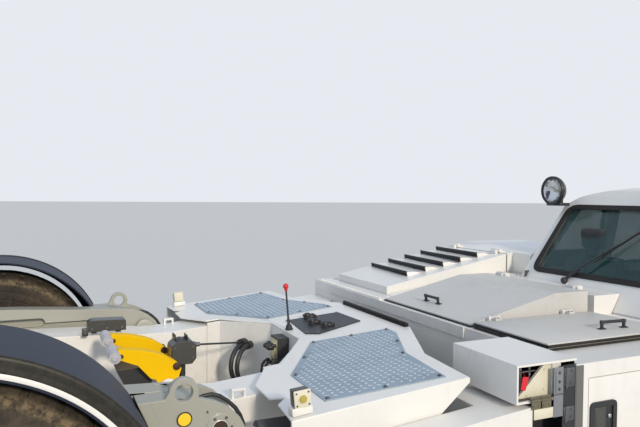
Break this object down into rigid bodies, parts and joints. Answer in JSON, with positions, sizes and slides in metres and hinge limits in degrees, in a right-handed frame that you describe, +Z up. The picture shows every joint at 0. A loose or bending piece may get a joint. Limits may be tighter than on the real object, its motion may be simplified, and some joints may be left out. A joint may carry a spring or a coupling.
{
  "type": "aircraft pushback tractor",
  "caption": "Low towbarless pushback tractor with a lifting rear fork for the nose gear, swing arms at the rear wheels and an offset cab.",
  "frame": {"origin": "on the ground, under the centre of the machine's bounding box", "axes": "+X forwards from the fork to the cab's bumper, +Y to the left, +Z up"},
  "size_m": [6.1, 2.6, 1.685],
  "materials": {
    "white_paint": "gloss",
    "rim_paint": "satin",
    "arm_grey": "satin",
    "roller_grey": "matte",
    "guard_dark": "satin",
    "frame_dark": "satin",
    "steel": "bright",
    "tread_metal": "satin, raised pattern",
    "yellow_paint": "gloss",
    "black_plastic": "matte",
    "cream_plastic": "matte",
    "marker_red": "gloss",
    "lamp_chrome": "polished",
    "window_glass": "clear, slightly green",
    "seat_fabric": "woven",
    "tyre_rubber": "dusty"
  },
  "bodies": {
    "root": {"main_frame": "frame_dark", "cradle_deck": "white_paint", "cradle_frame": "white_paint", "fork_legs": "white_paint", "tread_plates": "tread_metal", "connector_plate": "black_plastic", "whip_marker": "marker_red", "button_boxes": "cream_plastic", "pit_equipment": "black_plastic", "sensor_box": "black_plastic", "body_top": "white_paint", "body_side_left": "white_paint", "body_side_right": "white_paint", "corner_box": "white_paint", "ribbed_step": "white_paint", "nose_panel": "white_paint", "front_bumper": "frame_dark", "lamps": "lamp_chrome", "engine_block": "frame_dark", "front_axle": "frame_dark", "cab_shell": "white_paint", "cab_glass": "window_glass", "seats": "seat_fabric", "dashboard": "black_plastic", "cab_fittings": "black_plastic", "lift_cylinders": "frame_dark"},
    "arm_left": {"swing_arm_left": "arm_grey", "mudguard_left": "guard_dark"},
    "rod_left": {"lift_rod_left": "steel"},
    "rear_wheel_left": {"rear_tyre_left": "tyre_rubber", "rear_rim_left": "rim_paint"},
    "knuckle_left": {"knuckle_left": "frame_dark"},
    "front_wheel_left": {"front_tyre_left": "tyre_rubber", "front_rim_left": "rim_paint"},
    "hold_down_left": {"hold_down_left": "yellow_paint", "roller_left": "roller_grey"},
    "gate_left": {"gate_left": "arm_grey"},
    "arm_right": {"swing_arm_right": "arm_grey", "mudguard_right": "guard_dark"},
    "rod_right": {"lift_rod_right": "steel"},
    "rear_wheel_right": {"rear_tyre_right": "tyre_rubber", "rear_rim_right": "rim_paint"},
    "knuckle_right": {"knuckle_right": "frame_dark"},
    "front_wheel_right": {"front_tyre_right": "tyre_rubber", "front_rim_right": "rim_paint"},
    "hold_down_right": {"hold_down_right": "yellow_paint", "roller_right": "roller_grey"},
    "gate_right": {"gate_right": "arm_grey"},
    "hood": {"engine_hood": "white_paint"},
    "mid_lid": {"mid_hatch": "white_paint"},
    "near_lid": {"near_hatch": "white_paint"},
    "side_door": {"service_door": "white_paint"},
    "door": {"cab_door": "white_paint", "door_glass": "window_glass"},
    "steering_wheel": {"steering_wheel": "black_plastic"}
  },
  "joints": [
    {"name": "arm_lift_left", "type": "hinge", "parent": "root", "child": "arm_left", "pos_m": [-1.55, 0.876, 0.742], "axis": [0, -1, 0], "range_deg": [0, 10]},
    {"name": "lift_rod_left", "type": "slide", "parent": "root", "child": "rod_left", "axis": [1, 0, 0], "range_m": [0, 0.0131]},
    {"name": "rear_wheel_left", "type": "hinge", "parent": "arm_left", "child": "rear_wheel_left", "pos_m": [-2.35, 1.1, 0.535], "axis": [0, 1, 0], "continuous": true},
    {"name": "steer_left", "type": "hinge", "parent": "root", "child": "knuckle_left", "pos_m": [2.25, 0.96, 0.46], "axis": [0, 0, 1], "range_deg": [-32, 32]},
    {"name": "front_wheel_left", "type": "hinge", "parent": "knuckle_left", "child": "front_wheel_left", "pos_m": [2.25, 1.1, 0.46], "axis": [0, 1, 0], "continuous": true},
    {"name": "hold_down_left", "type": "hinge", "parent": "root", "child": "hold_down_left", "pos_m": [-1.582, 0.16, 0.658], "axis": [0, 1, 0], "range_deg": [-5, 50]},
    {"name": "gate_left", "type": "hinge", "parent": "root", "child": "gate_left", "pos_m": [-2.58, 0.462, 0.26], "axis": [0, 0, -1], "range_deg": [0, 88]},
    {"name": "arm_lift_right", "type": "hinge", "parent": "root", "child": "arm_right", "pos_m": [-1.55, -0.876, 0.742], "axis": [0, -1, 0], "range_deg": [0, 10]},
    {"name": "lift_rod_right", "type": "slide", "parent": "root", "child": "rod_right", "axis": [1, 0, 0], "range_m": [0, 0.0131]},
    {"name": "rear_wheel_right", "type": "hinge", "parent": "arm_right", "child": "rear_wheel_right", "pos_m": [-2.35, -1.1, 0.535], "axis": [0, 1, 0], "continuous": true},
    {"name": "steer_right", "type": "hinge", "parent": "root", "child": "knuckle_right", "pos_m": [2.25, -0.96, 0.46], "axis": [0, 0, 1], "range_deg": [-32, 32]},
    {"name": "front_wheel_right", "type": "hinge", "parent": "knuckle_right", "child": "front_wheel_right", "pos_m": [2.25, -1.1, 0.46], "axis": [0, 1, 0], "continuous": true},
    {"name": "hold_down_right", "type": "hinge", "parent": "root", "child": "hold_down_right", "pos_m": [-1.582, -0.16, 0.658], "axis": [0, 1, 0], "range_deg": [-5, 50]},
    {"name": "gate_right", "type": "hinge", "parent": "root", "child": "gate_right", "pos_m": [-2.58, -0.462, 0.26], "axis": [0, 0, 1], "range_deg": [0, 88]},
    {"name": "hood_hinge", "type": "hinge", "parent": "root", "child": "hood", "pos_m": [0.91, 0.786, 1.152], "axis": [0, 1, 0], "range_deg": [0, 60]},
    {"name": "mid_hatch_hinge", "type": "hinge", "parent": "root", "child": "mid_lid", "pos_m": [0.643, -0.13, 1.036], "axis": [0, 1, 0], "range_deg": [0, 60]},
    {"name": "near_hatch_hinge", "type": "hinge", "parent": "root", "child": "near_lid", "pos_m": [0.235, -0.566, 0.932], "axis": [-1, 0, 0], "range_deg": [0, 80]},
    {"name": "service_door_hinge", "type": "hinge", "parent": "root", "child": "side_door", "pos_m": [0.398, -1.289, 0.6], "axis": [0, 0, 1], "range_deg": [0, 110]},
    {"name": "cab_door_hinge", "type": "hinge", "parent": "root", "child": "door", "pos_m": [1.614, -1.256, 0.96], "axis": [0, 0.0698, 0.9976], "range_deg": [0, 70]},
    {"name": "steering_wheel_turn", "type": "hinge", "parent": "root", "child": "steering_wheel", "pos_m": [1.51, -0.85, 1.075], "axis": [-0.5736, 0, 0.8192], "range_deg": [-400, 400]}
  ],
  "couplings": [
    {"joint": "lift_rod_left", "follows": "arm_lift_left", "m_per_rad": 0.075},
    {"joint": "lift_rod_right", "follows": "arm_lift_right", "m_per_rad": 0.075},
    {"joint": "steer_right", "follows": "steer_left", "ratio": 1},
    {"joint": "steering_wheel_turn", "follows": "steer_left", "ratio": 12},
    {"joint": "hold_down_right", "follows": "hold_down_left", "ratio": 1},
    {"joint": "gate_right", "follows": "gate_left", "ratio": 1}
  ]
}
